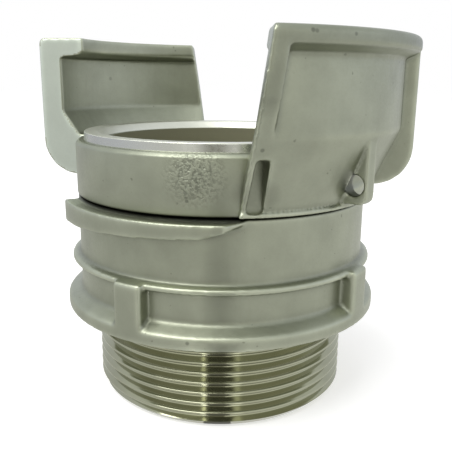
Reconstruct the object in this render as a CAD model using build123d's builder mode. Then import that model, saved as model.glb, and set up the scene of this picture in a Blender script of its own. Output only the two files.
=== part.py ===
"""Quarter turn (Guillemin type) half coupling, DN 50, with a locking ring and a G 2 male thread.

Two claws on the head reach up and hook under the ramps of a second, identical half. The locking
ring turns on the neck by a quarter turn, and its own two ramps draw the second half's hooks down.
+Z runs up the waterway. The origin is on the axis, in the flat end of the male thread.
Azimuths are in degrees, anticlockwise seen from above, from +X.
"""
import os
from math import cos, radians, sin, sqrt, tan

from build123d import *

# ---- driving dimensions, millimetres and degrees ----
# waterway and male thread
thread_radius = 29.807
thread_wall = 4.807
thread_length = 17.9
thread_lead_in = 1.4

# neck that the locking ring turns on, and the groove of its retaining ring
neck_step = 0.493
neck_lead = 0.2
neck_foot = 2.61
groove_depth = 1.4
retainer_width = 2.8
retainer_thickness = 1.6
retainer_gap_azimuth = -100.0
retainer_gap = 7.0

# head and its raised sealing rim
head_step = 3.46
head_height = 11.97
shoulder_round = 0.7
rim_step = 1.92
rim_height = 1.83
rim_width = 4.33

# seal in its groove under the rim
seal_groove_depth = 2.09
seal_groove_height = 5.2
seal_groove_roof = 3.22
seal_stand_in = 0.71
seal_lip_height = 1.4

# claws
claw_count = 2
claw_reach = 10.1
claw_height = 22.46
claw_corner_round = 1.35
claw_wall = 5.24
hook_length = 5.22
hook_thickness = 3.85
hook_root_drop = 0.5
hook_chamfer = 0.9
trench_width = 1.14
trench_height = 5.61
cone_height = 22.595
foot_width = 1.19
foot_thickness = 0.77
rib_end_azimuth = -79.0
rib_end_tilt = 8.5
rib_width = 3.3
web_width = 1.25
recess_start_arc = 2.0
recess_height = 12.13
recess_top_drop = 1.5
fin_azimuth = -6.8
fin_thickness = 3.1
fin_lift = 2.18
fin_round = 8.6
pocket_depth = 3.26
pocket_roof = 2.95
pocket_top_drop = 1.5

# ear under each claw, with its hole
ear_azimuth = -43.0
ear_thickness = 3.2
ear_reach = 6.44
ear_lift = 1.25
ear_corner_round = 2.0
ear_hole_radius = 2.15
ear_hole_inset = 3.0
ear_hole_lift = 3.9
ear_relief = 0.35

# locking ring
ring_wall = 3.24
ring_height = 25.76
lower_bead_width = 3.23
lower_bead_height = 2.61
lower_bead_slope_height = 1.84
upper_bead_width = 1.86
upper_bead_thickness = 1.23
upper_bead_slope_height = 0.25
bead_spacing = 9.64
pad_azimuths = (-120.9, -35.0)
pad_arc = 10.3
pad_round = 0.5
pad_edge = 0.5
ramp_width = 3.28
ramp_top_drop = 0.45
ramp_thick_azimuth = -160.8
ramp_arc = 79.2
ramp_thickness = 3.6
ramp_pitch_angle = 2.7
lead_in_arc = 14.6
lead_in_angle = 16.0
lead_in_taper_arc = 7.3

# clearances
running_clearance = 0.08
axial_clearance = 0.35
retainer_clearance = 0.05
seal_clearance = 0.05

# how far a cutter runs past what it cuts, and the azimuth a swept section starts before its cut end
cutter_reach = 5.0
sweep_lead = 15.0

# ---- radii that follow, outwards from the thread ----
bore_radius = thread_radius - thread_wall
neck_radius = thread_radius + neck_step
groove_radius = neck_radius - groove_depth
retainer_bore_radius = groove_radius + 2 * retainer_clearance
retainer_radius = retainer_bore_radius + retainer_width
head_radius = neck_radius + head_step
rim_radius = head_radius - rim_step
rim_mouth_radius = rim_radius - rim_width
seal_groove_radius = rim_mouth_radius + seal_groove_depth
seal_inner_radius = rim_mouth_radius - seal_stand_in
claw_radius = head_radius + claw_reach
claw_inner_radius = claw_radius - claw_wall
hook_radius = claw_inner_radius - hook_length
trench_radius = head_radius + trench_width
foot_radius = head_radius + foot_width
pocket_radius = claw_radius - pocket_depth
ear_radius = head_radius + ear_reach
ear_hole_offset = ear_radius - ear_hole_inset
ring_bore_radius = neck_radius + running_clearance
ring_radius = ring_bore_radius + ring_wall
lower_bead_radius = ring_radius + lower_bead_width
upper_bead_radius = ring_radius + upper_bead_width
ramp_radius = ring_radius + ramp_width
buried_radius = (rim_radius + head_radius) / 2

# ---- heights that follow, upwards from the thread's end ----
neck_start_z = thread_length + neck_lead
ring_bottom_z = neck_start_z + neck_foot
retainer_top_z = ring_bottom_z - axial_clearance
retainer_bottom_z = retainer_top_z - retainer_thickness
lower_bead_top_z = ring_bottom_z + lower_bead_height
lower_bead_root_z = lower_bead_top_z + lower_bead_slope_height
upper_bead_top_z = lower_bead_top_z + bead_spacing
upper_bead_root_z = upper_bead_top_z + upper_bead_slope_height
ring_top_z = ring_bottom_z + ring_height
ramp_top_z = ring_top_z - ramp_top_drop
head_bottom_z = ring_top_z + axial_clearance
foot_top_z = head_bottom_z + foot_thickness
ear_bottom_z = head_bottom_z + ear_lift
ear_hole_z = ear_bottom_z + ear_hole_lift
fin_bottom_z = head_bottom_z + fin_lift
recess_top_z = head_bottom_z + recess_height
cone_top_z = head_bottom_z + cone_height
shoulder_z = head_bottom_z + head_height
rim_top_z = shoulder_z + rim_height
seal_groove_top_z = rim_top_z - seal_groove_roof
seal_groove_bottom_z = seal_groove_top_z - seal_groove_height
claw_wall_bottom_z = shoulder_z + trench_height
claw_top_z = shoulder_z + claw_height
pocket_top_z = claw_top_z - pocket_roof
hook_underside_z = claw_top_z - hook_thickness
hook_root_z = hook_underside_z - hook_root_drop


def radial_plane(azimuth):
    """A plane through the axis: local x is the radius at this azimuth, local y is the height."""
    a = radians(azimuth)
    return Plane(origin=(0, 0, 0), x_dir=(cos(a), sin(a), 0), z_dir=(sin(a), -cos(a), 0))


def at(radius, azimuth, z=0.0):
    """The point at a radius, azimuth and height."""
    a = radians(azimuth)
    return Vector(radius * cos(a), radius * sin(a), z)


def rib_plane(offset):
    """The leaning plane that ends a claw at its rib, moved into the claw by an offset."""
    lean = radians(rib_end_tilt)
    normal = Vector(cos(lean), 0, -sin(lean))
    corner = at(claw_radius, rib_end_azimuth, claw_top_z)
    return Plane(origin=corner + normal * offset, x_dir=(0, 1, 0), z_dir=normal)


def outer_corner(profile, row):
    """The corner furthest from the axis in a radial profile's lowest (0) or highest (-1) row."""
    return profile.vertices().group_by(Axis.Y)[row].sort_by(Axis.X)[-1]


def cone_radius(z):
    """Outer radius of a claw's conical foot at a height."""
    return head_radius + claw_reach * (z - head_bottom_z) / cone_height


# ---- claw: a C section swept about the axis, with a rib, a fin, a pocket and an ear ----
hook_profile = [
    (claw_radius, claw_top_z),
    (hook_radius, claw_top_z),
    (hook_radius, hook_underside_z + hook_chamfer),
    (hook_radius + hook_chamfer, hook_underside_z),
    (claw_inner_radius, hook_root_z),
    (claw_inner_radius, claw_wall_bottom_z),
    (trench_radius, shoulder_z),
    (buried_radius, shoulder_z),
]
sweep_start = rib_end_azimuth - sweep_lead

with BuildPart() as pocket:
    with BuildSketch(radial_plane(sweep_start)):
        Polygon(
            (pocket_radius, cone_top_z - 2 * cutter_reach),
            (claw_radius + cutter_reach, cone_top_z - 2 * cutter_reach),
            (claw_radius + cutter_reach, pocket_top_z + pocket_top_drop),
            (claw_radius, pocket_top_z),
            (pocket_radius, pocket_top_z - pocket_top_drop),
            align=None,
        )
    revolve(axis=Axis.Z, revolution_arc=fin_azimuth - sweep_start)
    split(bisect_by=rib_plane(rib_width), keep=Keep.TOP)
    split(bisect_by=radial_plane(fin_azimuth).offset(fin_thickness), keep=Keep.TOP)

with BuildPart() as rib_recess:
    with BuildSketch(radial_plane(sweep_start)):
        Polygon(
            (buried_radius, foot_top_z),
            (claw_radius, foot_top_z),
            (claw_radius, recess_top_z),
            (buried_radius, recess_top_z - recess_top_drop),
            align=None,
        )
    revolve(axis=Axis.Z, revolution_arc=sweep_lead + recess_start_arc)
    split(bisect_by=rib_plane(web_width), keep=Keep.TOP)

# the relief beside the ear's hole runs on until the cone has curved away from it
relief_inner = ear_hole_offset - ear_hole_radius - ear_relief
ear_relief_reach = sqrt(cone_radius(ear_hole_z) ** 2 - relief_inner**2) - ear_thickness / 2

with BuildPart() as claw:
    # the swept section, trimmed by the leaning plane of the rib
    with BuildSketch(radial_plane(sweep_start)) as section:
        with BuildLine():
            Polyline(
                *hook_profile,
                (buried_radius, head_bottom_z),
                (foot_radius, head_bottom_z),
                (foot_radius, foot_top_z),
                (cone_radius(foot_top_z), foot_top_z),
                (claw_radius, cone_top_z),
                close=True,
            )
        make_face()
        fillet(outer_corner(section, -1), claw_corner_round)
    revolve(axis=Axis.Z, revolution_arc=fin_azimuth - sweep_start)
    split(bisect_by=rib_plane(0), keep=Keep.TOP)
    add(pocket.part, mode=Mode.SUBTRACT)
    add(rib_recess.part, mode=Mode.SUBTRACT)
    # the fin: a flat plate that closes the other end, with a large rounded foot
    with BuildSketch(radial_plane(fin_azimuth)) as fin_face:
        with BuildLine():
            Polyline(
                *hook_profile,
                (buried_radius, fin_bottom_z),
                (claw_radius, fin_bottom_z),
                close=True,
            )
        make_face()
        fillet(outer_corner(fin_face, -1), claw_corner_round)
        fillet(outer_corner(fin_face, 0), fin_round)
    extrude(amount=fin_thickness)
    # the ear, a gusset that stands on the cone, with a hole and a wider relief beside it in the cone
    with BuildSketch(radial_plane(ear_azimuth)) as ear_face:
        with BuildLine():
            ear_top_z = head_bottom_z + cone_height * ear_reach / claw_reach
            Polyline(
                (buried_radius, ear_bottom_z),
                (ear_radius, ear_bottom_z),
                (ear_radius, ear_top_z),
                (buried_radius, ear_bottom_z + ear_corner_round),
                close=True,
            )
        make_face()
        fillet(outer_corner(ear_face, 0), ear_corner_round)
    extrude(amount=ear_thickness / 2, both=True)
    with BuildSketch(radial_plane(ear_azimuth)):
        with Locations((ear_hole_offset, ear_hole_z)):
            Circle(ear_hole_radius)
    extrude(amount=ear_thickness / 2, both=True, mode=Mode.SUBTRACT)
    with BuildSketch(radial_plane(ear_azimuth).offset(-ear_thickness / 2)):
        with Locations((ear_hole_offset, ear_hole_z)):
            Circle(ear_hole_radius + ear_relief)
    extrude(amount=-ear_relief_reach, mode=Mode.SUBTRACT)

# ---- body: thread, neck, head, rim and both claws in one casting ----
with BuildPart() as body:
    with BuildSketch(Plane.XZ):
        Polygon(
            (bore_radius, 0),
            (thread_radius - thread_lead_in, 0),
            (thread_radius, thread_lead_in),
            (thread_radius, thread_length),
            (neck_radius, neck_start_z),
            (neck_radius, retainer_bottom_z - retainer_clearance),
            (groove_radius, retainer_bottom_z - retainer_clearance),
            (groove_radius, retainer_top_z + retainer_clearance),
            (neck_radius, retainer_top_z + retainer_clearance),
            (neck_radius, head_bottom_z),
            (head_radius, head_bottom_z),
            (head_radius, shoulder_z - shoulder_round),
            (head_radius - shoulder_round, shoulder_z),
            (rim_radius, shoulder_z),
            (rim_radius, rim_top_z),
            (rim_mouth_radius, rim_top_z),
            (rim_mouth_radius, seal_groove_top_z),
            (seal_groove_radius, seal_groove_top_z),
            (seal_groove_radius, seal_groove_bottom_z),
            (bore_radius, seal_groove_bottom_z),
            align=None,
        )
    revolve(axis=Axis.Z)
    with PolarLocations(0, claw_count):
        add(claw.part)
body.part.label = "body"

# ---- seal: a rubber ring with a raised lip, in the groove under the rim ----
with BuildPart() as seal:
    with BuildSketch(Plane.XZ):
        Polygon(
            (seal_inner_radius, seal_groove_bottom_z + seal_clearance),
            (seal_groove_radius - seal_clearance, seal_groove_bottom_z + seal_clearance),
            (seal_groove_radius - seal_clearance, seal_groove_top_z - seal_clearance),
            (rim_mouth_radius - 2 * seal_clearance, seal_groove_top_z - seal_clearance),
            (seal_inner_radius, seal_groove_top_z + seal_lip_height),
            align=None,
        )
    revolve(axis=Axis.Z)
seal.part.label = "seal"

# ---- retaining ring: a split ring in the neck's groove, under the locking ring ----
with BuildPart() as retaining_ring:
    with BuildSketch(Plane.XY.offset(retainer_bottom_z)):
        Circle(retainer_radius)
        Circle(retainer_bore_radius, mode=Mode.SUBTRACT)
    extrude(amount=retainer_thickness)
    with BuildSketch(Plane.XY.offset(retainer_bottom_z)):
        with Locations(at(retainer_radius, retainer_gap_azimuth)):
            Rectangle(cutter_reach * 3, retainer_gap, rotation=retainer_gap_azimuth)
    extrude(amount=retainer_thickness, mode=Mode.SUBTRACT)
retaining_ring.part.label = "retaining_ring"

# ---- locking ring: a turned band with two beads, four pads and two ramps ----
ring_wall_middle = (ring_bore_radius + ring_radius) / 2
ramp_thin_azimuth = ramp_thick_azimuth + ramp_arc
ramp_middle_azimuth = ramp_thick_azimuth + ramp_arc / 2
lead_in_azimuth = ramp_thin_azimuth - lead_in_arc
ramp_underside_z = ramp_top_z - ramp_thickness


def ramp_underside(azimuth, z, angle):
    """A plane square to the radius at an azimuth, falling clockwise by an angle: the ramp is above."""
    a = radians(azimuth)
    slope = radians(angle)
    along = Vector(-sin(a) * cos(slope), cos(a) * cos(slope), sin(slope))
    outward = Vector(cos(a), sin(a), 0)
    return Plane(origin=at(ramp_radius, azimuth, z), x_dir=outward, z_dir=outward.cross(along))


# the lead-in starts where the ramp's underside has climbed to it, and a vertical cut tapers its end
lead_in_climb = ramp_radius * sin(radians(lead_in_azimuth - ramp_middle_azimuth))
lead_in_z = ramp_underside_z + lead_in_climb * tan(radians(ramp_pitch_angle))
taper_start = at(ramp_radius, ramp_thin_azimuth - lead_in_taper_arc, ramp_top_z)
taper_end = at(ring_radius, ramp_thin_azimuth, ramp_top_z)
taper_run = (taper_end - taper_start).normalized()
lead_in_taper = Plane(origin=taper_start, x_dir=taper_run, z_dir=Vector(0, 0, 1).cross(taper_run))

with BuildPart() as ramp:
    with BuildSketch(radial_plane(ramp_thick_azimuth)):
        Polygon(
            (ring_wall_middle, ramp_top_z - 2 * ramp_thickness),
            (ramp_radius, ramp_top_z - 2 * ramp_thickness),
            (ramp_radius, ramp_top_z),
            (ring_wall_middle, ramp_top_z),
            align=None,
        )
    revolve(axis=Axis.Z, revolution_arc=ramp_arc)
    split(bisect_by=ramp_underside(ramp_middle_azimuth, ramp_underside_z, ramp_pitch_angle), keep=Keep.TOP)
    split(bisect_by=ramp_underside(lead_in_azimuth, lead_in_z, lead_in_angle), keep=Keep.TOP)
    split(bisect_by=lead_in_taper, keep=Keep.TOP)

with BuildPart() as pad:
    with BuildSketch(radial_plane(-pad_arc / 2)):
        Polygon(
            (ring_wall_middle, lower_bead_top_z),
            (lower_bead_radius, lower_bead_top_z),
            (lower_bead_radius, upper_bead_top_z - pad_edge),
            (lower_bead_radius - pad_edge, upper_bead_top_z),
            (ring_wall_middle, upper_bead_top_z),
            align=None,
        )
    revolve(axis=Axis.Z, revolution_arc=pad_arc)
    fillet(pad.edges().filter_by(Axis.Z).sort_by_distance((0, 0, upper_bead_top_z))[-2:], pad_round)

with BuildPart() as locking_ring:
    with BuildSketch(Plane.XZ):
        Polygon(
            (ring_bore_radius, ring_bottom_z),
            (lower_bead_radius, ring_bottom_z),
            (lower_bead_radius, lower_bead_top_z),
            (ring_radius, lower_bead_root_z),
            (ring_radius, upper_bead_top_z - upper_bead_thickness),
            (upper_bead_radius, upper_bead_top_z - upper_bead_thickness),
            (upper_bead_radius, upper_bead_top_z),
            (ring_radius, upper_bead_root_z),
            (ring_radius, ring_top_z),
            (ring_bore_radius, ring_top_z),
            align=None,
        )
    revolve(axis=Axis.Z)
    with PolarLocations(0, claw_count):
        add(ramp.part)
    for pad_azimuth in pad_azimuths:
        with PolarLocations(0, claw_count, start_angle=pad_azimuth):
            add(pad.part)
locking_ring.part.label = "locking_ring"

os.makedirs("parts", exist_ok=True)
for piece in (body, seal, retaining_ring, locking_ring):
    export_step(piece.part, f"parts/{piece.part.label}.step")
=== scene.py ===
# %% [markdown]
# # A quarter turn hose coupling in cast stainless steel
# The coupling is one investment casting with two hooked claws, a ring that turns on its neck, a
# rubber seal in its mouth and a pipe thread at its foot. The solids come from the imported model;
# this lesson rounds their edges, cuts the real thread and gives each surface its finish.

# %% Load the solids
import math

import bmesh
import bpy
import numpy as np
from mathutils import Matrix, Vector


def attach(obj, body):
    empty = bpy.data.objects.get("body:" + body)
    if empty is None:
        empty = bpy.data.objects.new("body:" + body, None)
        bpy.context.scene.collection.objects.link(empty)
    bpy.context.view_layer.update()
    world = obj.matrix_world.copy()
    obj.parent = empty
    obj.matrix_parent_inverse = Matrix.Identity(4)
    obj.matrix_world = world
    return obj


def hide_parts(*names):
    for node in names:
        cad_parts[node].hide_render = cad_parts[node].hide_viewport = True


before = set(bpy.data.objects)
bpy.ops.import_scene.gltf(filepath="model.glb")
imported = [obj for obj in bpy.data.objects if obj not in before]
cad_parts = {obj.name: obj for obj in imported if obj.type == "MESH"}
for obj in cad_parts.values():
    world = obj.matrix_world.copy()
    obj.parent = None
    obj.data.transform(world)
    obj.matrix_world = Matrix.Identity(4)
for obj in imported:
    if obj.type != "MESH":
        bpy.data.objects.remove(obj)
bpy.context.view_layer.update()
MM = 0.001

# %% [markdown]
# Blender can be asked for nodes and sockets by name. One helper that adds a shader node with its
# settings and links keeps every finish below short enough to read in one go. A value that is
# another node's socket is linked; any other value is set on the socket.


# %% Helpers for shader nodes and colours
def add_node(tree, kind, inputs=None, **settings):
    node = tree.nodes.new(kind)
    for name, value in settings.items():
        setattr(node, name, value)
    for name, value in (inputs or {}).items():
        if isinstance(value, bpy.types.NodeSocket):
            tree.links.new(value, node.inputs[name])
        else:
            node.inputs[name].default_value = value
    return node


def srgb(code):
    """A colour written as sRGB hex, turned to the linear values that shaders use."""
    parts = [int(code[i : i + 2], 16) / 255 for i in (0, 2, 4)]
    return (*[c / 12.92 if c <= 0.04045 else ((c + 0.055) / 1.055) ** 2.4 for c in parts], 1.0)


print("mid grey", [round(c, 3) for c in srgb("808080")])

# %% [markdown]
# The camera stands a little above the coupling's middle, as is usual for a hand sized product: close
# enough that the near claw looks larger than the far one. It could be aimed at a point by a
# constraint. Its turn is given by three angles instead, because a tripod is never quite square.

# %% Camera
sensor_width = 36.0
focal_share = 605.5 / 452  # how long the lens is for each unit of the frame's width
camera_place = Vector((0, -144.58, 72.39)) * MM
yaw, pitch, roll = (math.radians(a) for a in (0.474, 13.723, 0.509))

camera_data = bpy.data.cameras.new("camera")
camera_data.sensor_width = sensor_width
camera_data.lens = focal_share * sensor_width
camera_data.clip_start = 0.005
camera_data.clip_end = 20.0
camera = bpy.data.objects.new("camera", camera_data)
bpy.context.scene.collection.objects.link(camera)
ahead = Vector((math.sin(yaw) * math.cos(pitch), math.cos(yaw) * math.cos(pitch), -math.sin(pitch)))
level_right = Vector((math.cos(yaw), -math.sin(yaw), 0))
level_up = level_right.cross(ahead)
right = level_right * math.cos(roll) + level_up * math.sin(roll)
up = level_up * math.cos(roll) - level_right * math.sin(roll)
turn = Matrix((right, up, -ahead)).transposed().to_4x4()
camera.matrix_world = Matrix.Translation(camera_place) @ turn
bpy.context.scene.camera = camera
print("lens", round(camera_data.lens, 2), "mm at", [round(v, 4) for v in camera_place])

# %% [markdown]
# A lost wax casting has no sharp edge: wax, shell and blasting round each corner by half a
# millimetre, and that is where the light catches. A bevel could do this on a simple shape, but the
# claws' many tapered corners would tangle it. So a copy of the solid, whose loose triangles are
# merged first, is given a new skin of even squares. A few passes of smoothing pull the corners of
# that skin round, inside corners as well, and leave the flat places flat.


# %% Skins with cast corners
def copy_of(node_name):
    mesh = bmesh.new()
    mesh.from_mesh(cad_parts[node_name].data)
    bmesh.ops.remove_doubles(mesh, verts=mesh.verts, dist=0.0005 * MM)
    return mesh


def evaluated(mesh, kind, **settings):
    """The bmesh after one modifier of that kind."""
    data = bpy.data.meshes.new("work")
    mesh.to_mesh(data)
    mesh.free()
    work = bpy.data.objects.new("work", data)
    bpy.context.scene.collection.objects.link(work)
    modifier = work.modifiers.new(kind, kind)
    for name, value in settings.items():
        setattr(modifier, name, value)
    result = bmesh.new()
    result.from_object(work, bpy.context.evaluated_depsgraph_get())
    bpy.data.objects.remove(work)
    bpy.data.meshes.remove(data)
    return result


def cast_skin(mesh, square_mm, passes):
    skin = evaluated(mesh, "REMESH", mode="VOXEL", voxel_size=square_mm * MM, adaptivity=0.0)
    for _ in range(passes):
        bmesh.ops.smooth_vert(
            skin, verts=skin.verts, factor=0.5, use_axis_x=True, use_axis_y=True, use_axis_z=True
        )
    print("skin of", len(skin.verts), "points")
    return skin


casting = copy_of("body")
print("casting", len(casting.verts), "points, volume", round(casting.calc_volume() * 1e6, 2), "cm3")

# %% [markdown]
# Inside corners get a painted shade and edges a painted highlight, in place of the shade and light
# that fall there. A shader could look for corners with ambient occlusion, but that is slow and is
# lost in an export. Here each point stores how hollow it is as an attribute: the edges that meet in
# it rise from its tangent plane where it lies in a hollow, and fall away from it on an edge.

# %% How hollow each point is
full_hollow = 0.25  # the mean rise of a point's edges, as a share of their length, stored as 1
spread_passes = 5


def mark_hollows(data):
    """Stores a value above 0 in inside corners and below 0 on rounded edges, from -1 to 1."""
    count = len(data.vertices)
    place, normal = np.empty(count * 3), np.empty(count * 3)
    data.vertices.foreach_get("co", place)
    data.vertices.foreach_get("normal", normal)
    place, normal = place.reshape(-1, 3), normal.reshape(-1, 3)
    ends = np.empty(len(data.edges) * 2, dtype=np.int64)
    data.edges.foreach_get("vertices", ends)
    first, second = ends.reshape(-1, 2).T
    step = place[second] - place[first]
    length = np.linalg.norm(step, axis=1).mean()
    valence = np.bincount(ends, minlength=count)
    rise = np.bincount(first, (step * normal[first]).sum(axis=1), count)
    rise -= np.bincount(second, (step * normal[second]).sum(axis=1), count)
    hollow = rise / valence / length / full_hollow
    for _ in range(spread_passes):
        around = np.bincount(first, hollow[second], count)
        around += np.bincount(second, hollow[first], count)
        hollow = (hollow + around / valence) / 2
    layer = data.attributes.new("hollow", "FLOAT", "POINT")
    layer.data.foreach_set("value", np.clip(hollow, -1, 1).astype(np.float32))
    print("hollow from", round(float(hollow.min()), 2), "to", round(float(hollow.max()), 2))


print("hollows are spread over their neighbours", spread_passes, "times")

# %% [markdown]
# Every new piece ends in the same way. It is shaded smooth, rides on the body that it belongs to,
# and either keeps the sharp edges that a tool has left or is marked for its hollows. One helper
# does this, so that no piece is left without its body.


# %% Piece from a mesh
def piece_from(mesh, name, body, sharp_angle=None):
    """A cast piece is smooth and marked for its hollows; a machined one keeps its sharp edges."""
    data = bpy.data.meshes.new(name)
    mesh.to_mesh(data)
    mesh.free()
    data.shade_smooth()
    if sharp_angle:
        data.set_sharp_from_angle(angle=math.radians(sharp_angle))
    else:
        mark_hollows(data)
    piece = bpy.data.objects.new(name, data)
    bpy.context.scene.collection.objects.link(piece)
    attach(piece, body)
    print(name, "faces", len(data.polygons), "size", [round(v / MM, 2) for v in piece.dimensions])
    return piece


# %% [markdown]
# The two claws are as cast, but the head that they stand on is turned on a lathe and stays crisp.
# They could be parted from it by hand, face by face. A boolean does it in one go: a plain cylinder
# a hair wider than the head takes the head away. The cut faces then move inwards, so that each claw
# is rooted in the head again.

# %% Cut the claws off the head
head_radius = 33.76 * MM
cut_radius = head_radius + 0.04 * MM
cut_tolerance = 0.012 * MM  # the cutter's flat facets lie up to 0.005 mm inside its radius
root_depth = 0.6 * MM
cutter_height, cutter_middle = 66 * MM, 29 * MM  # from below the thread to above the rim

cutter = bmesh.new()
bmesh.ops.create_cone(
    cutter, cap_ends=True, cap_tris=False, segments=192, radius1=cut_radius, radius2=cut_radius,
    depth=cutter_height, matrix=Matrix.Translation((0, 0, cutter_middle)),
)
cutter_data = bpy.data.meshes.new("cutter")
cutter.to_mesh(cutter_data)
cutter.free()
cutter_object = bpy.data.objects.new("cutter", cutter_data)
bpy.context.scene.collection.objects.link(cutter_object)
both_claws = evaluated(
    casting, "BOOLEAN", operation="DIFFERENCE", solver="EXACT", object=cutter_object
)
bpy.data.objects.remove(cutter_object)
rooted = 0
for vert in both_claws.verts:
    radius = vert.co.xy.length
    if abs(radius - cut_radius) < cut_tolerance:
        vert.co.xy = vert.co.xy * ((head_radius - root_depth) / radius)
        rooted += 1
print("rooted points", rooted, "open edges", sum(e.is_boundary for e in both_claws.edges))

# %% [markdown]
# Each claw gets its own skin of squares. Where a claw runs out almost level with the head, the two
# surfaces would weave through each other. So the skin sinks a little more the closer it comes to
# the head.

# %% Skin of each claw
sink_from_radius, sink_width, sink_depth = 34.4 * MM, 0.6 * MM, 0.3 * MM
claws = []
for name, side in (("near_claw", 1), ("far_claw", -1)):
    one_claw = both_claws.copy()
    other = [v for v in one_claw.verts if v.co.y * side > 0]
    bmesh.ops.delete(one_claw, geom=other, context="VERTS")
    claw_skin = cast_skin(one_claw, square_mm=0.33, passes=4)
    for vert in claw_skin.verts:
        radius = vert.co.xy.length
        near_head = min(max((sink_from_radius - radius) / sink_width, 0), 1)
        vert.co.xy = vert.co.xy * (1 - near_head * sink_depth / radius)
    claws.append(piece_from(claw_skin, name, "coupling_body"))
both_claws.free()

# %% [markdown]
# Everything between the claws is a turned shape. Stacked cylinders would leave seams, so one
# outline from the bore over the rim and down the neck is spun about the axis, as a lathe cuts it.
# The mouth gets a lead in chamfer, which guides the other half's seal.

# %% Outline of head, rim and neck
# all radii and heights of the outline are in mm
bore_radius, thread_radius, thread_top = 25.0, 29.807, 17.9
neck_radius, neck_foot = 30.3, 18.1
groove_radius, groove_low, groove_high = 28.9, 18.71, 20.41
head_low, shoulder_high, shoulder_chamfer = 46.82, 58.79, 0.7
rim_radius, rim_high = 31.84, 60.62
lead_in_radius, lead_in_low, mouth_radius = 28.8, 58.8, 27.51
seal_radius, seal_low, seal_high = 29.6, 52.2, 57.4
head_out = head_radius / MM
outline = [
    (bore_radius, thread_top), (thread_radius, thread_top), (neck_radius, neck_foot),
    (neck_radius, groove_low), (groove_radius, groove_low), (groove_radius, groove_high),
    (neck_radius, groove_high), (neck_radius, head_low), (head_out, head_low),
    (head_out, shoulder_high - shoulder_chamfer), (head_out - shoulder_chamfer, shoulder_high),
    (rim_radius, shoulder_high), (rim_radius, rim_high), (lead_in_radius, rim_high),
    (mouth_radius, lead_in_low), (mouth_radius, seal_high), (seal_radius, seal_high),
    (seal_radius, seal_low), (bore_radius, seal_low),
]
print("outline corners", len(outline))

# %% [markdown]
# The lathe leaves corners that would cut a hand, so they are broken. A Bevel modifier would treat
# all of them alike. Here the round edges are picked by their height, and each group gets its own
# width: 0.4 mm under the head and round the seal, 0.22 mm on the shoulder, 0.3 mm on the rim.


# %% Head, rim and neck
def rings_between(mesh, low_mm, high_mm):
    """The round edges of a turned mesh, between two heights, where its outline turns a corner."""
    tolerance = 0.0001 * MM
    return [
        e for e in mesh.edges
        if low_mm * MM < e.verts[0].co.z < high_mm * MM
        and abs(e.verts[0].co.z - e.verts[1].co.z) < tolerance
        and abs(e.verts[0].co.xy.length - e.verts[1].co.xy.length) < tolerance
        and e.calc_face_angle(0.0) > math.radians(25)
    ]


head = bmesh.new()
corners = [head.verts.new((r * MM, 0, z * MM)) for r, z in outline]
chain = [head.edges.new(pair) for pair in zip(corners, corners[1:] + corners[:1])]
bmesh.ops.spin(
    head, geom=[*corners, *chain], cent=(0, 0, 0), axis=(0, 0, 1), angle=2 * math.pi, steps=192,
    use_merge=True,
)
bmesh.ops.remove_doubles(head, verts=head.verts, dist=0.001 * MM)
bmesh.ops.recalc_face_normals(head, faces=head.faces)
edge_rounds = ((46.0, 58.0, 0.4), (58.0, 58.9, 0.22), (60.0, 61.0, 0.3))  # in mm, as above
for low_mm, high_mm, width_mm in edge_rounds:
    bmesh.ops.bevel(
        head, geom=rings_between(head, low_mm, high_mm), offset=width_mm * MM, segments=3,
        profile=0.5, affect="EDGES", material=-1, clamp_overlap=True,
    )
print("head open edges", sum(e.is_boundary for e in head.edges))
coupling_head = piece_from(head, "coupling_head", "coupling_body", sharp_angle=24)
for piece in (*claws, coupling_head):
    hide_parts("body")

# %% [markdown]
# The pipe thread has eleven turns to the inch, flanks at 55 degrees to each other, and crests and
# roots rounded to one radius. Points copied from a table would hide that. Two arcs and the flank
# between them give half a pitch, and its mirror image gives the other half.

# %% Outline of one pitch
pitch_length, thread_depth = 2.309 * MM, 1.479 * MM
round_radius = 0.137329 * pitch_length  # the standard's share for this thread form
flank_tilt = 55 / 2
half_pitch = pitch_length / 2
arc_turns = [math.radians((90 - flank_tilt) * share) for share in (0, 0.5, 1)]
root_arc = [(round_radius * (1 - math.cos(a)), round_radius * math.sin(a)) for a in arc_turns]
crest_arc = [(thread_depth - out, half_pitch - along) for out, along in reversed(root_arc)]
half_outline = root_arc + crest_arc
pitch_outline = half_outline + [(out, pitch_length - along) for out, along in half_outline[-2::-1]]
print("pitch outline in mm", [(round(r / MM, 4), round(z / MM, 4)) for r, z in pitch_outline])

# %% [markdown]
# A screw modifier could turn that outline into a thread. A spin that also lifts shows what a lathe
# does: the outline goes round the axis and rises by one pitch a turn, to the right as on any pipe.

# %% Helix
crest_radius = thread_radius * MM
root_radius = crest_radius - thread_depth
crest_at_front = 1.1 * MM
turns, steps_per_turn = 11, 144
# the outline stands a quarter turn past the front, so its crest is a quarter of a pitch higher
crest_at_outline = crest_at_front + pitch_length / 4
pitches_below = 2  # the helix starts below the foot, so that the cut is clean all round
start = crest_at_outline - pitch_length / 2 - pitches_below * pitch_length
thread = bmesh.new()
corners = [thread.verts.new((root_radius + r, 0, start + z)) for r, z in pitch_outline]
chain = [thread.edges.new(pair) for pair in zip(corners, corners[1:])]
bmesh.ops.spin(
    thread, geom=[*corners, *chain], cent=(0, 0, 0), axis=(0, 0, 1),
    dvec=(0, 0, pitch_length / steps_per_turn), angle=2 * math.pi * turns,
    steps=steps_per_turn * turns, use_merge=False,
)
bmesh.ops.remove_doubles(thread, verts=thread.verts, dist=0.002 * MM)
print("helix from", round(start / MM, 2), "mm, faces", len(thread.faces))

# %% [markdown]
# The foot that the thread is cut on is faced flat, so both ends of the helix are cut by a plane. At
# the foot it is chamfered to below its root, so that it starts in a socket without catching. At the
# top its groove runs out over a millimetre. Moving each point to the radius it may have does both.

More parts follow.
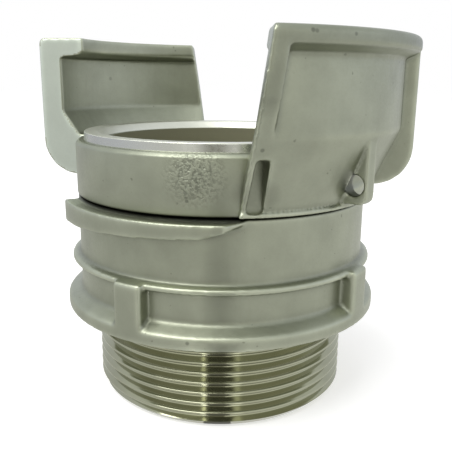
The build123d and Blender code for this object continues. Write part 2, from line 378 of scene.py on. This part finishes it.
# %% Ends of the helix
top = thread_top * MM
foot_step = 0.33 * MM  # how far below the root the foot's chamfer starts
run_out_length = 1.0 * MM
for height, outwards in ((0, -1), (top, 1)):
    bmesh.ops.bisect_plane(
        thread, geom=[*thread.verts, *thread.edges, *thread.faces], dist=0.0001 * MM,
        plane_co=(0, 0, height), plane_no=(0, 0, outwards), clear_outer=True,
    )
for vert in thread.verts:
    radius = vert.co.xy.length
    lead_in = root_radius - foot_step + vert.co.z
    run_out = root_radius + thread_depth * (1 - (top - vert.co.z) / run_out_length)
    wanted = max(min(radius, lead_in), min(run_out, crest_radius))
    vert.co.xy = vert.co.xy * (wanted / radius)
print("thread faces", len(thread.faces), "open edges", sum(e.is_boundary for e in thread.edges))

# %% [markdown]
# The helix is only the outside. The bore is a circle pulled up through it, and at each end a flat
# ring of triangles closes the gap between the bore's edge and the helix's cut edge.

# %% Bore and ends of the thread
end_tolerance = 0.01 * MM
bmesh.ops.create_circle(thread, cap_ends=False, radius=bore_radius * MM, segments=144)
circle = [e for e in thread.edges if not e.link_faces]
wall = bmesh.ops.extrude_edge_only(thread, edges=circle)
lifted = [g for g in wall["geom"] if isinstance(g, bmesh.types.BMVert)]
bmesh.ops.translate(thread, verts=lifted, vec=(0, 0, top))
for height in (0, top):
    ends = [
        e for e in thread.edges
        if e.is_boundary and all(abs(v.co.z - height) < end_tolerance for v in e.verts)
    ]
    bmesh.ops.triangle_fill(thread, use_beauty=True, edges=ends, normal=(0, 0, 1))
bmesh.ops.recalc_face_normals(thread, faces=thread.faces)
print("thread open edges", sum(e.is_boundary for e in thread.edges))
male_thread = piece_from(thread, "male_thread", "coupling_body", sharp_angle=40)

# %% [markdown]
# The locking ring is one casting as well: a band with two beads, four pads and two ramps that slide
# under the other half's hooks. It could be turned like the head, but it isn't round all over. So it
# gets a cast skin like the claws, in squares a little larger, which keeps its faces few.

# %% Locking ring
ring_skin = cast_skin(copy_of("locking_ring"), square_mm=0.38, passes=3)
turning_ring = piece_from(ring_skin, "turning_ring", "ring")
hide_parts("locking_ring")

# %% [markdown]
# The casting gets painted shade on its widest faces, in the gap over the ring, round the ears' holes
# and in the recess at the foot of the near claw's rib, and it has a few small pits. All that could
# be painted on an image, but an image fits one size and one unwrapping only. Distances from points,
# lines and planes on the piece give the same marks. Each function below gives the share of the
# casting's colour that one kind of mark leaves, from 1 for all of it.


# %% Directions on the claws
def bearing(degrees):
    """Two directions at that azimuth: straight out from the axis, and along the circle."""
    angle = math.radians(degrees)
    out = Vector((math.cos(angle), math.sin(angle), 0))
    return out, Vector((-out.y, out.x, 0))


ear_out, ear_along = bearing(-43.0)
fin_side = bearing(-6.8)[1]
print("the near ear points", [round(v, 3) for v in ear_out])

# %% [markdown]
# The claws' outer faces are the widest of the coupling and catch the most light from above, so
# they get a painted shade that tones them down. The distance from the axis finds them, which a paint
# mask would have to trace.

# %% Painted shade on the widest faces
shade_from, shade_full, widest_face_shade = 42.2 * MM, 43.5 * MM, 0.76
fin_spared, fin_beyond = 3.3 * MM, 3.8 * MM


def widest_face_shade_tone(tree, place, out):
    """Less colour on the widest faces, a painted shade, but not beside the fins."""
    shaded = add_node(
        tree, "ShaderNodeMapRange",
        {"Value": out, "From Min": shade_from, "From Max": shade_full, "To Min": 1.0,
         "To Max": widest_face_shade},
    ).outputs["Result"]
    beside_fin = add_node(
        tree, "ShaderNodeVectorMath", {0: place, 1: fin_side}, operation="DOT_PRODUCT"
    ).outputs["Value"]
    beside_fin = add_node(
        tree, "ShaderNodeMath", {0: beside_fin}, operation="ABSOLUTE"
    ).outputs[0]
    off_fin = add_node(
        tree, "ShaderNodeMapRange",
        {"Value": beside_fin, "From Min": fin_spared, "From Max": fin_beyond},
    ).outputs["Result"]
    return add_node(
        tree, "ShaderNodeMapRange", {"Value": off_fin, "To Min": 1.0, "To Max": shaded}
    ).outputs["Result"]


print("rubbed from a radius of", round(shade_from / MM, 1), "mm")

# %% [markdown]
# The edge of the small hole in each ear gets a painted shade, as shade falls into the hole. A ring
# could be modelled for it, but it is thinner than paint. So a band round the hole's own line is
# darkened.

# %% Painted shade round the ears' holes
hole_out, hole_high, hole_shade_share = 37.2 * MM, 51.97 * MM, 0.4
# each pair says where the dark begins and where it is full
rim_inside, rim_outside = (1.85 * MM, 2.05 * MM), (2.5 * MM, 2.3 * MM)
rim_along = (2.1 * MM, 1.8 * MM)


def hole_shade_tone(tree, place, height):
    """The two ears stand half a turn apart, so an absolute distance finds both of their holes."""
    across = add_node(
        tree, "ShaderNodeVectorMath", {0: place, 1: ear_out}, operation="DOT_PRODUCT"
    ).outputs["Value"]
    across = add_node(tree, "ShaderNodeMath", {0: across}, operation="ABSOLUTE").outputs[0]
    across = add_node(
        tree, "ShaderNodeMath", {0: across, 1: hole_out}, operation="SUBTRACT"
    ).outputs[0]
    rise = add_node(
        tree, "ShaderNodeMath", {0: height, 1: hole_high}, operation="SUBTRACT"
    ).outputs[0]
    offset = add_node(tree, "ShaderNodeCombineXYZ", {"X": across, "Y": rise}).outputs[0]
    away = add_node(
        tree, "ShaderNodeVectorMath", {0: offset}, operation="LENGTH"
    ).outputs["Value"]
    along = add_node(
        tree, "ShaderNodeVectorMath", {0: place, 1: ear_along}, operation="DOT_PRODUCT"
    ).outputs["Value"]
    along = add_node(tree, "ShaderNodeMath", {0: along}, operation="ABSOLUTE").outputs[0]
    rim = 1.0
    for value, (none, full) in ((away, rim_inside), (away, rim_outside), (along, rim_along)):
        within = add_node(
            tree, "ShaderNodeMapRange", {"Value": value, "From Min": none, "From Max": full}
        ).outputs["Result"]
        rim = add_node(tree, "ShaderNodeMath", {0: rim, 1: within}, operation="MULTIPLY").outputs[0]
    return add_node(
        tree, "ShaderNodeMapRange", {"Value": rim, "To Min": 1.0, "To Max": hole_shade_share}
    ).outputs["Result"]


print("holes", round(hole_out / MM, 1), "mm out and", round(hole_high / MM, 1), "mm high")

# %% [markdown]
# The ring turns under the head, and the gap between them gets a painted shade as a dark line. A
# dark bead would be one more piece for a line 1 mm high, so the line is only coloured.

# %% Painted shade in the gap between head and ring
gap_high, gap_shade_share = 46.62 * MM, 0.3
# each pair says where the dark begins and where it is full
gap_shade_height, gap_shade_radius = (0.75 * MM, 0.35 * MM), (34.2 * MM, 33.9 * MM)


def gap_shade_tone(tree, out, height):
    """Painted shade at the gap's height, and only as far out as the head's wall."""
    away = add_node(
        tree, "ShaderNodeMath", {0: height, 1: gap_high}, operation="SUBTRACT"
    ).outputs[0]
    away = add_node(tree, "ShaderNodeMath", {0: away}, operation="ABSOLUTE").outputs[0]
    gap_shade = 1.0
    for value, (none, full) in ((away, gap_shade_height), (out, gap_shade_radius)):
        within = add_node(
            tree, "ShaderNodeMapRange", {"Value": value, "From Min": none, "From Max": full}
        ).outputs["Result"]
        gap_shade = add_node(
            tree, "ShaderNodeMath", {0: gap_shade, 1: within}, operation="MULTIPLY"
        ).outputs[0]
    return add_node(
        tree, "ShaderNodeMapRange", {"Value": gap_shade, "To Min": 1.0, "To Max": gap_shade_share}
    ).outputs["Result"]


print("grease at", round(gap_high / MM, 2), "mm")

# %% [markdown]
# Gas in the shell leaves small pits, strewn at random. Placing each by hand would be slow. A noise
# of 1.3 mm does it when only its highest spots are kept, which are few and much smaller than that.
# The marks that lie at a certain place, pits and spots of painted shade, are listed.

# %% Pits and spots of painted shade
pit_spacing, pit_share = 1.3 * MM, 0.7
pits_and_shade_spots = [  # place and reach in mm, and the share of the colour that is left
    # painted shade in the recess at the foot of the near claw's rib
    ((6.6, -33.1, 51.5), 5.0, 0.72), ((7.5, -33.4, 56.5), 3.0, 0.8),
    # pits in the head's wall, near the rough patch
    ((-6.5, -33.1, 49.9), 0.45, 0.6), ((-6.7, -33.1, 50.5), 0.4, 0.65),
    # pits along the near claw's top
    ((14.8, -41.2, 80.2), 0.5, 0.6), ((15.5, -41.0, 80.1), 0.45, 0.65),
    ((22.7, -37.6, 79.9), 0.45, 0.65),
    # single pits on the near claw, on the ring and on the far claw
    ((7.1, -39.1, 60.2), 0.5, 0.6), ((-6.4, -36.3, 22.5), 0.5, 0.6),
    ((-30.2, 24.1, 72.0), 0.6, 0.75),
]


def pit_and_shade_spot_tones(tree, place):
    """One share of the colour for all random pits, and one for each mark of the list."""
    shell = add_node(
        tree, "ShaderNodeTexNoise", {"Vector": place, "Scale": 1 / pit_spacing, "Detail": 1.0}
    ).outputs["Fac"]
    tones = [add_node(
        tree, "ShaderNodeMapRange",
        {"Value": shell, "From Min": 0.76, "From Max": 0.80, "To Min": 1.0, "To Max": pit_share},
    ).outputs["Result"]]
    for mark, reach_mm, share in pits_and_shade_spots:
        away = add_node(
            tree, "ShaderNodeVectorMath", {0: place, 1: [v * MM for v in mark]},
            operation="DISTANCE",
        ).outputs["Value"]
        tones.append(add_node(
            tree, "ShaderNodeMapRange",
            {"Value": away, "From Min": reach_mm * MM, "From Max": 0.5 * reach_mm * MM,
             "To Min": 1.0, "To Max": share},
        ).outputs["Result"])
    return tones


print("marks", len(pits_and_shade_spots), "reaching", [reach for _, reach, _ in pits_and_shade_spots], "mm")


# %% All marks and painted shade of the casting
def pit_and_shade_tones(tree, place):
    """The shares of the colour that pits and painted shade leave, to be multiplied."""
    flat_place = add_node(
        tree, "ShaderNodeVectorMath", {0: place, 1: (1, 1, 0)}, operation="MULTIPLY"
    ).outputs["Vector"]
    out = add_node(
        tree, "ShaderNodeVectorMath", {0: flat_place}, operation="LENGTH"
    ).outputs["Value"]
    height = add_node(tree, "ShaderNodeSeparateXYZ", {"Vector": place}).outputs["Z"]
    return [
        widest_face_shade_tone(tree, place, out), hole_shade_tone(tree, place, height),
        gap_shade_tone(tree, out, height), *pit_and_shade_spot_tones(tree, place),
    ]


print("shares of the casting's colour", 4 + len(pits_and_shade_spots))

# %% [markdown]
# On the head, beside the near claw, molten metal has reacted with the shell and left a rough patch:
# small craters, each darker than the metal around it. Modelled craters would cost far more faces
# than they are worth. So a noise of 0.6 mm, about the size of such craters, both dents and darkens.

# %% Rough patch
patch_middle, patch_reach = Vector((-5.0, -33.4, 54.5)) * MM, 7.0 * MM
crater_size, crater_depth, crater_share = 0.6 * MM, 0.09 * MM, 0.62


def rough_patch(tree, place, bump):
    """The share of the colour that the patch leaves, and the normal with its dents."""
    craters = add_node(
        tree, "ShaderNodeTexNoise", {"Vector": place, "Scale": 1 / crater_size, "Detail": 3.0}
    ).outputs["Fac"]
    level = add_node(  # 0 in a crater and 1 around it
        tree, "ShaderNodeMapRange", {"Value": craters, "From Min": 0.38, "From Max": 0.58}
    ).outputs["Result"]
    away = add_node(
        tree, "ShaderNodeVectorMath", {0: place, 1: patch_middle}, operation="DISTANCE"
    ).outputs["Value"]
    near = add_node(
        tree, "ShaderNodeMapRange",
        {"Value": away, "From Min": patch_reach, "From Max": 0.4 * patch_reach},
    ).outputs["Result"]
    dented = add_node(
        tree, "ShaderNodeBump",
        {"Strength": near, "Distance": crater_depth, "Height": level, "Normal": bump},
    ).outputs["Normal"]
    dark = add_node(
        tree, "ShaderNodeMapRange", {"Value": level, "To Min": crater_share, "To Max": 1.0}
    ).outputs["Result"]
    tone = add_node(
        tree, "ShaderNodeMapRange", {"Value": near, "To Min": 1.0, "To Max": dark}
    ).outputs["Result"]
    return tone, dented


print("patch of", round(2 * patch_reach / MM), "mm, craters of", round(crater_size / MM, 1), "mm")

# %% [markdown]
# All of the metal is one stainless steel, and only the way that a surface was made sets it apart.
# So one function makes every finish: a colour, a roughness, and two patterns measured in
# millimetres, soft waves of 6 mm left by wax or tool, and a grain. Bead blasting leaves dents of
# 0.1 to 0.2 mm and a lathe's feed lines lie 0.1 mm apart. Both are too fine to show, so the grain
# is drawn coarser, at 0.45 to 0.8 mm.

# %% Finish of stainless steel
wave_mm = 6.0
rough_spread = 0.12  # how far the grain sways the roughness


def stainless(
    name, colour, roughness, grain_mm, blotch, wave_height_mm, grain_height_mm=0.0, as_cast=False
):
    material = bpy.data.materials.new(name)
    material.use_nodes = True
    tree = material.node_tree
    tree.nodes.clear()
    place = add_node(tree, "ShaderNodeTexCoord").outputs["Object"]
    waves = add_node(
        tree, "ShaderNodeTexNoise", {"Vector": place, "Scale": 1 / (wave_mm * MM), "Detail": 3.0}
    ).outputs["Fac"]
    grain = add_node(
        tree, "ShaderNodeTexNoise",
        {"Vector": place, "Scale": 1 / (grain_mm * MM), "Detail": 2.0},
    ).outputs["Fac"]
    rough = add_node(
        tree, "ShaderNodeMapRange",
        {"Value": grain, "From Min": 0.3, "From Max": 0.7,
         "To Min": (1 - rough_spread) * roughness, "To Max": (1 + rough_spread) * roughness},
    ).outputs["Result"]
    bump = add_node(
        tree, "ShaderNodeBump",
        {"Strength": 1.0, "Distance": wave_height_mm * MM, "Height": waves},
    ).outputs["Normal"]
    bump = add_node(
        tree, "ShaderNodeBump",
        {"Strength": 1.0, "Distance": grain_height_mm * MM, "Height": grain, "Normal": bump},
    ).outputs["Normal"]
    # painted shade in hollows, painted highlight on edges; a piece storing none reads 0, like a flat
    # place
    hollow = add_node(tree, "ShaderNodeAttribute", attribute_name="hollow").outputs["Fac"]
    tones = [add_node(
        tree, "ShaderNodeMapRange",
        {"Value": hollow, "From Min": -0.5, "From Max": 0.6, "To Min": 1.20, "To Max": 0.42},
    ).outputs["Result"]]
    if as_cast:
        patch_tone, bump = rough_patch(tree, place, bump)
        tones += [*pit_and_shade_tones(tree, place), patch_tone]
    tone = add_node(
        tree, "ShaderNodeMapRange",
        {"Value": waves, "From Min": 0.3, "From Max": 0.7, "To Min": 1 - blotch,
         "To Max": 1 + blotch},
    ).outputs["Result"]
    for factor in tones:
        tone = add_node(
            tree, "ShaderNodeMath", {0: tone, 1: factor}, operation="MULTIPLY"
        ).outputs[0]
    base = add_node(
        tree, "ShaderNodeVectorMath", {0: srgb(colour)[:3], "Scale": tone}, operation="SCALE"
    ).outputs["Vector"]
    shader = add_node(
        tree, "ShaderNodeBsdfPrincipled",
        {"Base Color": base, "Metallic": 1.0, "Roughness": rough, "Normal": bump},
    )
    add_node(tree, "ShaderNodeOutputMaterial", {"Surface": shader.outputs["BSDF"]})
    print("finish", name, len(tree.nodes), "nodes")
    return material


print("waves of", wave_mm, "mm")

# %% [markdown]
# The steel has six finishes. They could be six copies of one material, each with its own nodes, but
# then a change to the steel would have to be made six times. Each comment below says what the way
# that a surface was made gives the eye.

# %% The metal's finishes
# investment cast and bead blasted: a matt, warm grey with a touch of green and wide soft highlights
blasted_casting = stainless(
    "blasted_stainless_casting", "acb09c", roughness=0.42, grain_mm=0.45, blotch=0.07,
    wave_height_mm=0.10, grain_height_mm=0.010, as_cast=True,
)
# turned: paler and cooler, still smooth enough to mirror the room as soft bands
turned_face = stainless(
    "turned_stainless_face", "c4c5bd", roughness=0.28, grain_mm=0.8, blotch=0.03,
    wave_height_mm=0.01,
)
# faced across: its fine rings spread the light, and a colour near white adds a painted highlight,
# so it is bright from any side
faced_rim_painted_pale = stainless(
    "faced_stainless_rim_painted_highlight", "e9eadc", roughness=0.45, grain_mm=0.8, blotch=0.03,
    wave_height_mm=0.002,
)
# milled: pale and matt, a little greener than the rim
milled_face = stainless(
    "milled_stainless_face", "d2dace", roughness=0.45, grain_mm=0.6, blotch=0.03,
    wave_height_mm=0.02, grain_height_mm=0.004,
)
# bored: a shade yellower than the turned faces, and duller
bored_wall = stainless(
    "bored_stainless_wall", "c6c6ad", roughness=0.38, grain_mm=0.5, blotch=0.05,
    wave_height_mm=0.05, grain_height_mm=0.004,
)
# cut with a chaser: almost a mirror, which is why the thread shows dark and bright lines
cut_thread = stainless(
    "cut_stainless_thread", "b1b298", roughness=0.11, grain_mm=0.8, blotch=0.04,
    wave_height_mm=0.01,
)

# %% [markdown]
# The seal is moulded nitrile rubber. Rubber isn't a metal, so it gets a shader of its own rather
# than one more finish of the steel: an olive grey, as dust lies on its black, and a typical
# roughness of 0.55 for a dull sheen. The mould's texture of about 0.1 mm is drawn at 0.8 mm, which
# is as coarse as it needs to show.

# %% Rubber
rubber = bpy.data.materials.new("moulded_seal_rubber")
rubber.use_nodes = True
rubber_tree = rubber.node_tree
rubber_tree.nodes.clear()
rubber_place = add_node(rubber_tree, "ShaderNodeTexCoord").outputs["Object"]
rubber_grain = add_node(
    rubber_tree, "ShaderNodeTexNoise", {"Vector": rubber_place, "Scale": 1 / (0.8 * MM)}
).outputs["Fac"]
rubber_bump = add_node(
    rubber_tree, "ShaderNodeBump", {"Distance": 0.01 * MM, "Height": rubber_grain}
).outputs["Normal"]
rubber_shader = add_node(
    rubber_tree, "ShaderNodeBsdfPrincipled",
    {"Base Color": srgb("84836a"), "Roughness": 0.55, "Normal": rubber_bump},
)
add_node(rubber_tree, "ShaderNodeOutputMaterial", {"Surface": rubber_shader.outputs["BSDF"]})
print("finish", rubber.name)

# %% [markdown]
# A real casting is machined only where it has to be, so one piece carries several finishes. Faces
# could be picked by hand, but that is lost when a shape changes. A face's place and the way that it
# points tell which tool has been there: the mill on the fins' flat sides, the lathe on the rim, the
# boring bar inside.

# %% Give the finishes
CAST, TURNED, BORED, FACED = range(4)  # the slots of the head's material list
fin_tolerance = 0.12 * MM  # how far from the fin's plane a face may lie
straight_on, upwards = 0.95, 0.4  # how squarely a milled face points sideways, a faced one up
for claw in claws:
    claw.data.materials.append(blasted_casting)
    claw.data.materials.append(milled_face)
    for face in claw.data.polygons:
        on_fin = abs(face.center.dot(fin_side)) < fin_tolerance
        face.material_index = int(on_fin and abs(face.normal.dot(fin_side)) > straight_on)
turning_ring.data.materials.append(blasted_casting)
for material in (blasted_casting, turned_face, bored_wall, faced_rim_painted_pale):
    coupling_head.data.materials.append(material)
inside_bore, inside_seal, inside_rim = 27.3 * MM, 29.7 * MM, 31.86 * MM
seal_roof, above_shoulder = 57.5 * MM, 58.82 * MM
for face in coupling_head.data.polygons:
    radius, height = face.center.xy.length, face.center.z
    if radius < inside_bore or (radius < inside_seal and height < seal_roof):
        face.material_index = BORED
    elif radius < inside_rim and height > above_shoulder:
        face.material_index = FACED if face.normal.z > upwards else TURNED
male_thread.data.materials.append(cut_thread)
for name, finish in (("seal", rubber), ("retaining_ring", turned_face)):
    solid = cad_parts[name]
    solid.data.materials.clear()
    solid.data.materials.append(finish)
head_slots = [face.material_index for face in coupling_head.data.polygons]
slot_counts = [head_slots.count(slot) for slot in (CAST, TURNED, BORED, FACED)]
print("head faces cast, turned, bored, faced:", slot_counts)

# %% [markdown]
# A product table is white paper under a large soft lamp. Metal has no look of its own: it shows
# what is around it. In a studio, strips of card are laid beside it, and glowing strips would do here
# too, but they would be seen. Light Path tells rays apart: the camera sees plain white paper with
# a soft shadow, and only the metal sees the paper's glow and a dark slot in it.

# %% Floor
floor_mesh = bmesh.new()
bmesh.ops.create_grid(floor_mesh, x_segments=1, y_segments=1, size=3.0)
floor_data = bpy.data.meshes.new("floor")
floor_mesh.to_mesh(floor_data)
floor_mesh.free()
floor = bpy.data.objects.new("floor", floor_data)
floor.location = (0, 0, -0.02 * MM)
bpy.context.scene.collection.objects.link(floor)
paper = bpy.data.materials.new("white_paper")
paper.use_nodes = True
paper_tree = paper.node_tree
paper_tree.nodes.clear()
paper_ray = add_node(paper_tree, "ShaderNodeLightPath").outputs
paper_place = add_node(paper_tree, "ShaderNodeTexCoord").outputs["Object"]
paper_axis = add_node(paper_tree, "ShaderNodeSeparateXYZ", {"Vector": paper_place}).outputs
print("floor", [round(v, 2) for v in floor.dimensions], "m")

# %% Glow of the paper, brighter behind and on the right
behind_glow, right_glow = (0.75, 0.9), (0.86, 1.10)
paper_glow = add_node(
    paper_tree, "ShaderNodeMapRange",
    {"Value": paper_axis["Y"], "From Min": -0.25, "From Max": 0.05, "To Min": behind_glow[0],
     "To Max": behind_glow[1]},
).outputs["Result"]
paper_side = add_node(
    paper_tree, "ShaderNodeMapRange",
    {"Value": paper_axis["X"], "From Min": -0.12, "From Max": 0.12, "To Min": right_glow[0],
     "To Max": right_glow[1]},
).outputs["Result"]
paper_glow = add_node(
    paper_tree, "ShaderNodeMath", {0: paper_glow, 1: paper_side}, operation="MULTIPLY"
).outputs[0]
print("glow from", behind_glow[0] * right_glow[0], "to", round(behind_glow[1] * right_glow[1], 3))

# %% [markdown]
# The polished thread mirrors the paper in front of it as one dark stripe. The higher a turn of the
# thread is, the farther out it mirrors the paper. So the slot starts close to the foot, 31 mm from
# the axis, and widens outwards.

# %% Dark slot in the paper
slot_near_mm, slot_far_mm = -31, -105
slot_near_half_mm, slot_far_half_mm = 2.95, 19.5
slot_middle_mm, slot_share = -0.6, 0.24
slot_reach = add_node(
    paper_tree, "ShaderNodeMapRange",
    {"Value": paper_axis["Y"], "From Min": slot_near_mm * MM, "From Max": slot_far_mm * MM,
     "To Min": slot_near_half_mm * MM, "To Max": slot_far_half_mm * MM},
).outputs["Result"]
slot_away = add_node(
    paper_tree, "ShaderNodeMath", {0: paper_axis["X"], 1: slot_middle_mm * MM}, operation="SUBTRACT"
).outputs[0]
slot_away = add_node(
    paper_tree, "ShaderNodeMath", {0: slot_away}, operation="ABSOLUTE"
).outputs[0]
outside_slot = add_node(
    paper_tree, "ShaderNodeMath", {0: slot_away, 1: slot_reach}, operation="GREATER_THAN"
).outputs[0]
behind = add_node(
    paper_tree, "ShaderNodeMath", {0: paper_axis["Y"], 1: 0.0}, operation="GREATER_THAN"
).outputs[0]
lit = add_node(
    paper_tree, "ShaderNodeMath", {0: outside_slot, 1: behind}, operation="MAXIMUM"
).outputs[0]
lit_share = add_node(
    paper_tree, "ShaderNodeMapRange", {"Value": lit, "To Min": slot_share, "To Max": 1.0}
).outputs["Result"]
paper_glow = add_node(
    paper_tree, "ShaderNodeMath", {0: paper_glow, 1: lit_share}, operation="MULTIPLY"
).outputs[0]
print("slot from", 2 * slot_near_half_mm, "to", 2 * slot_far_half_mm, "mm wide")

# %% [markdown]
# On each side of the stripe runs a bright line, narrow and strong on the left, wider and faint on
# the right. Two slanted lines of light beside the slot give them, added to the paper's glow.

# %% Bright hems of the slot
hem_start_mm = -36
hem_front = add_node(
    paper_tree, "ShaderNodeMath", {0: paper_axis["Y"], 1: hem_start_mm * MM}, operation="LESS_THAN"
).outputs[0]
hems = [  # place at the slot's near end in mm, shift for each mm outwards, half width in mm, glow
    (-3.67, -0.278, 1.1, 4.5), (3.84, 0.291, 2.4, 1.1),
]
for start_mm, slope, half_mm, gain in hems:
    hem_line = add_node(
        paper_tree, "ShaderNodeMath",
        {0: paper_axis["Y"], 1: -slope, 2: (start_mm + slope * slot_near_mm) * MM},
        operation="MULTIPLY_ADD",
    ).outputs[0]
    hem_away = add_node(
        paper_tree, "ShaderNodeMath", {0: paper_axis["X"], 1: hem_line}, operation="SUBTRACT"
    ).outputs[0]
    hem_away = add_node(
        paper_tree, "ShaderNodeMath", {0: hem_away}, operation="ABSOLUTE"
    ).outputs[0]
    hem = add_node(
        paper_tree, "ShaderNodeMapRange",
        {"Value": hem_away, "From Min": 1.4 * half_mm * MM, "From Max": 0.6 * half_mm * MM,
         "To Max": gain},
    ).outputs["Result"]
    paper_glow = add_node(
        paper_tree, "ShaderNodeMath", {0: hem, 1: hem_front, 2: paper_glow},
        operation="MULTIPLY_ADD",
    ).outputs[0]
print("hems at", [start_mm for start_mm, *_ in hems], "mm from the middle")

# %% Paper as the camera, the metal and the light see it
white = (1, 1, 1, 1)
paper_lit = add_node(paper_tree, "ShaderNodeBsdfDiffuse", {"Color": (0.85, 0.85, 0.85, 1)})
paper_white = add_node(paper_tree, "ShaderNodeEmission", {"Color": white, "Strength": 0.50})
paper_seen = add_node(
    paper_tree, "ShaderNodeAddShader", {0: paper_lit.outputs[0], 1: paper_white.outputs[0]}
)
paper_mirrored = add_node(
    paper_tree, "ShaderNodeEmission", {"Color": white, "Strength": paper_glow}
)
paper_mix = add_node(
    paper_tree, "ShaderNodeMixShader",
    {"Fac": paper_ray["Is Camera Ray"], 1: paper_lit.outputs[0], 2: paper_seen.outputs[0]},
)
paper_mix = add_node(
    paper_tree, "ShaderNodeMixShader",
    {"Fac": paper_ray["Is Glossy Ray"], 1: paper_mix.outputs[0], 2: paper_mirrored.outputs[0]},
)
add_node(paper_tree, "ShaderNodeOutputMaterial", {"Surface": paper_mix.outputs[0]})
floor_data.materials.append(paper)
print("paper", len(paper_tree.nodes), "nodes")

# %% [markdown]
# The room is a pale tent. A studio would build it from cloth panels, and a colour ramp round the
# horizon does the same with no geometry. Its front is a little warmer and brighter, the sides and
# the back are cooler, and the ceiling is dimmer than the front.

# %% Walls and ceiling of the tent
world = bpy.data.worlds.new("studio")
world.use_nodes = True
bpy.context.scene.world = world
sky = world.node_tree
sky.nodes.clear()
sky_ray = add_node(sky, "ShaderNodeLightPath").outputs
toward = add_node(sky, "ShaderNodeTexCoord").outputs["Generated"]
axis = add_node(sky, "ShaderNodeSeparateXYZ", {"Vector": toward}).outputs
from_front = add_node(
    sky, "ShaderNodeMath", {0: axis["Y"], 1: -1.0}, operation="MULTIPLY"
).outputs[0]
azimuth = add_node(
    sky, "ShaderNodeMath", {0: axis["X"], 1: from_front}, operation="ARCTAN2"
).outputs[0]
turn_share = add_node(
    sky, "ShaderNodeMapRange", {"Value": azimuth, "From Min": -math.pi, "From Max": math.pi}
).outputs["Result"]
wall = add_node(sky, "ShaderNodeValToRGB", {"Fac": turn_share})
cool, warm = (0.97, 1.0, 1.11), (1.0, 1.0, 0.96)
wall_levels = [  # degrees from the front, brightness, tint
    (-180, 1.0, cool), (-158, 0.95, cool), (-125, 0.73, cool), (-85, 0.95, cool),
    (-35, 1.05, warm), (-24, 1.4, warm), (-17, 1.4, warm), (5, 1.25, warm), (14, 1.25, warm),
    (24, 1.08, warm), (85, 1.10, cool), (125, 0.79, cool), (158, 0.97, cool), (180, 1.0, cool),
]
stops = wall.color_ramp.elements
while len(stops) < len(wall_levels):
    stops.new(0.5)
for stop, (degrees, _, _) in zip(stops, wall_levels):
    stop.position = (degrees + 180) / 360
for stop, (_, level, tint) in zip(stops, wall_levels):
    stop.color = (*[level * share for share in tint], 1)
ceiling = add_node(
    sky, "ShaderNodeMapRange", {"Value": axis["Z"], "From Min": 0.35, "From Max": 0.8},
    interpolation_type="SMOOTHSTEP",
).outputs["Result"]
tent = add_node(
    sky, "ShaderNodeMixRGB",
    {"Fac": ceiling, "Color1": wall.outputs["Color"], "Color2": (0.83, 0.86, 0.88, 1)},
).outputs["Color"]
print("tent panels", len(stops))

# %% [markdown]
# The camera looks in through a gap between two panels. The gap narrows upwards and closes high up.
# The metal mirrors it as a darker band, and it is such bands that make metal look like metal. A
# dark board would do it too, but it would cast a shadow, so the gap is mixed into the room's colour.

# %% Dark gap of the tent
# parts of a direction of length 1; each pair says where the gap's edge begins and where it is full
gap_middle = -0.105
gap_width, gap_round, gap_top = (0.20, 0.18), (0.25, 0.15), (0.85, 0.75)
gap_narrows = add_node(
    sky, "ShaderNodeMapRange", {"Value": axis["Z"], "To Min": 1.0, "To Max": 0.45}
).outputs["Result"]
gap_side = add_node(
    sky, "ShaderNodeMath", {0: axis["X"], 1: gap_narrows}, operation="DIVIDE"
).outputs[0]
gap_away = add_node(
    sky, "ShaderNodeMath", {0: gap_side, 1: gap_middle}, operation="SUBTRACT"
).outputs[0]
gap_away = add_node(sky, "ShaderNodeMath", {0: gap_away}, operation="ABSOLUTE").outputs[0]
gap = 1.0
for value, (none, full) in ((gap_away, gap_width), (axis["Y"], gap_round), (axis["Z"], gap_top)):
    within = add_node(
        sky, "ShaderNodeMapRange", {"Value": value, "From Min": none, "From Max": full}
    ).outputs["Result"]
    gap = add_node(sky, "ShaderNodeMath", {0: gap, 1: within}, operation="MULTIPLY").outputs[0]
mirrored_colour = add_node(
    sky, "ShaderNodeMixRGB", {"Fac": gap, "Color1": tent, "Color2": (0.30, 0.29, 0.24, 1)}
).outputs["Color"]
print("gap middle at", gap_middle)

# %% [markdown]
# The camera has to see a plain white backdrop, the metal the tent, and all else gets an even light
# from the room. A scene has only one world, so Light Path picks its colour for each kind of ray.

# %% Room as the camera, the metal and the light see it
mirrored_room = add_node(sky, "ShaderNodeBackground", {"Color": mirrored_colour})
plain_light = add_node(sky, "ShaderNodeBackground", {"Color": white, "Strength": 0.6})
white_backdrop = add_node(sky, "ShaderNodeBackground", {"Color": white, "Strength": 1.0})
rooms = add_node(
    sky, "ShaderNodeMixShader",
    {"Fac": sky_ray["Is Glossy Ray"], 1: plain_light.outputs[0], 2: mirrored_room.outputs[0]},
)
rooms = add_node(
    sky, "ShaderNodeMixShader",
    {"Fac": sky_ray["Is Camera Ray"], 1: rooms.outputs[0], 2: white_backdrop.outputs[0]},
)
add_node(sky, "ShaderNodeOutputWorld", {"Surface": rooms.outputs[0]})
print("room", len(sky.nodes), "nodes")

# %% [markdown]
# One large soft lamp stands high on the left, behind the camera. A small lamp would throw a hard
# shadow; this one is wide, so the shadow on the paper is soft and the casting's corners catch it.

# %% Soft lamp
lamp_data = bpy.data.lights.new("soft_lamp", "AREA")
lamp_data.shape = "SQUARE"
lamp_data.size = 0.7
lamp_data.energy = 6.0
lamp = bpy.data.objects.new("soft_lamp", lamp_data)
bpy.context.scene.collection.objects.link(lamp)
lamp_place = Vector((-0.35, -0.35, 0.9))
coupling_middle = Vector((0, 0, 0.04))
aim = (coupling_middle - lamp_place).to_track_quat("-Z", "Y").to_matrix().to_4x4()
lamp.matrix_world = Matrix.Translation(lamp_place) @ aim
bpy.context.scene.view_settings.view_transform = "Standard"
print("lamp", lamp_data.energy, "W")
